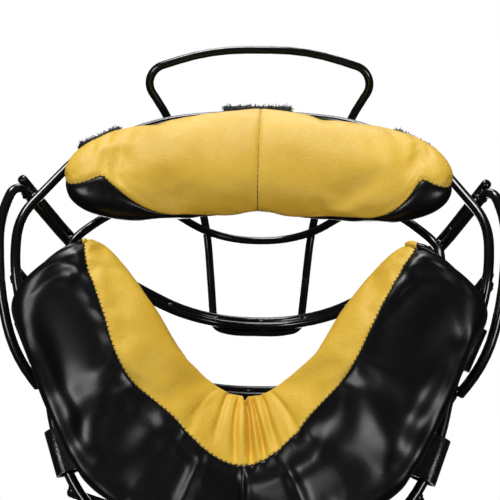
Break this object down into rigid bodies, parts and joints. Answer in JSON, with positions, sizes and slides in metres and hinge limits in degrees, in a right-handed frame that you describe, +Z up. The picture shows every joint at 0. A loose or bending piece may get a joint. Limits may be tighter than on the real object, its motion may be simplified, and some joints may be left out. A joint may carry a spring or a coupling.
{
  "type": "catchers mask",
  "caption": "Wire catchers mask: welded cage of bent rods with a yellow and black leather forehead pad and a V-shaped chin pad held on by straps.",
  "frame": {"origin": "middle of the face opening, level with the ears, in the plane of the face ring at its sides", "axes": "+Z up as worn, the wearer looks along -Y, +X is the wearer's left"},
  "size_m": [0.2452, 0.1568, 0.2915],
  "materials": {
    "cage_wire": "gloss black powder coat",
    "yellow_leather": "smooth semi-gloss",
    "black_leather": "smooth semi-gloss",
    "foam": "open-cell foam",
    "loop_pile": "fuzzy loop pile",
    "strap_leather": "glossy",
    "snap_cap": "gloss black enamel",
    "snap_stud": "bright nickel",
    "stitching": "waxed thread"
  },
  "bodies": {
    "cage": {"crown_loop": "cage_wire", "forehead_bar": "cage_wire", "brow_bar_upper": "cage_wire", "brow_bar_lower": "cage_wire", "face_ring": "cage_wire", "left_ear_guard": "cage_wire", "right_ear_guard": "cage_wire", "under_eye_bar_upper": "cage_wire", "under_eye_bar_lower": "cage_wire", "mouth_bar": "cage_wire", "chin_bar": "cage_wire", "lower_loop": "cage_wire", "forehead_strap_middle": "loop_pile", "forehead_strap_left": "loop_pile", "forehead_strap_right": "loop_pile", "chin_strap_upper_left": "strap_leather", "chin_strap_upper_right": "strap_leather", "chin_strap_lower_left": "strap_leather", "chin_strap_lower_right": "strap_leather", "snap_studs": "snap_stud"},
    "forehead_pad": {"forehead_foam": "foam", "forehead_front_cover": "yellow_leather", "forehead_back_cover": "black_leather"},
    "chin_pad": {"chin_foam": "foam", "chin_inner_cover": "yellow_leather", "chin_outer_cover": "black_leather"},
    "forehead_flap_middle": {"forehead_flap_middle": "loop_pile"},
    "forehead_flap_left": {"forehead_flap_left": "loop_pile"},
    "forehead_flap_right": {"forehead_flap_right": "loop_pile"},
    "chin_flap_upper_left": {"chin_flap_upper_left": "strap_leather", "chin_snap_upper_left": "snap_cap"},
    "chin_flap_upper_right": {"chin_flap_upper_right": "strap_leather", "chin_snap_upper_right": "snap_cap"},
    "chin_flap_lower_left": {"chin_flap_lower_left": "strap_leather", "chin_snap_lower_left": "snap_cap"},
    "chin_flap_lower_right": {"chin_flap_lower_right": "strap_leather", "chin_snap_lower_right": "snap_cap"}
  },
  "joints": [
    {"name": "forehead_pad_pull", "type": "slide", "parent": "cage", "child": "forehead_pad", "axis": [0, 1, 0], "range_m": [0, 0.06]},
    {"name": "chin_pad_pull", "type": "slide", "parent": "cage", "child": "chin_pad", "axis": [0, 1, 0], "range_m": [0, 0.06]},
    {"name": "forehead_flap_middle_open", "type": "hinge", "parent": "cage", "child": "forehead_flap_middle", "pos_m": [0, -0.0182, 0.1075], "axis": [-1, 0, 0], "range_deg": [0, 110]},
    {"name": "forehead_flap_left_open", "type": "hinge", "parent": "cage", "child": "forehead_flap_left", "pos_m": [0.0831, -0.01011, 0.0756], "axis": [-0.6646, -0.2099, 0.7171], "range_deg": [0, 110]},
    {"name": "forehead_flap_right_open", "type": "hinge", "parent": "cage", "child": "forehead_flap_right", "pos_m": [-0.0831, -0.01011, 0.0756], "axis": [-0.6646, 0.2099, -0.7171], "range_deg": [0, 110]},
    {"name": "chin_flap_upper_left_open", "type": "hinge", "parent": "cage", "child": "chin_flap_upper_left", "pos_m": [0.10304, -0.02333, -0.03862], "axis": [0.4073, 0.4699, 0.7832], "range_deg": [0, 20]},
    {"name": "chin_flap_upper_right_open", "type": "hinge", "parent": "cage", "child": "chin_flap_upper_right", "pos_m": [-0.10304, -0.02333, -0.03862], "axis": [0.4073, -0.4699, -0.7832], "range_deg": [0, 20]},
    {"name": "chin_flap_lower_left_open", "type": "hinge", "parent": "cage", "child": "chin_flap_lower_left", "pos_m": [0.08442, -0.04256, -0.08699], "axis": [0.3714, 0.26, 0.8913], "range_deg": [0, 110]},
    {"name": "chin_flap_lower_right_open", "type": "hinge", "parent": "cage", "child": "chin_flap_lower_right", "pos_m": [-0.08442, -0.04256, -0.08699], "axis": [0.3714, -0.26, -0.8913], "range_deg": [0, 110]}
  ]
}
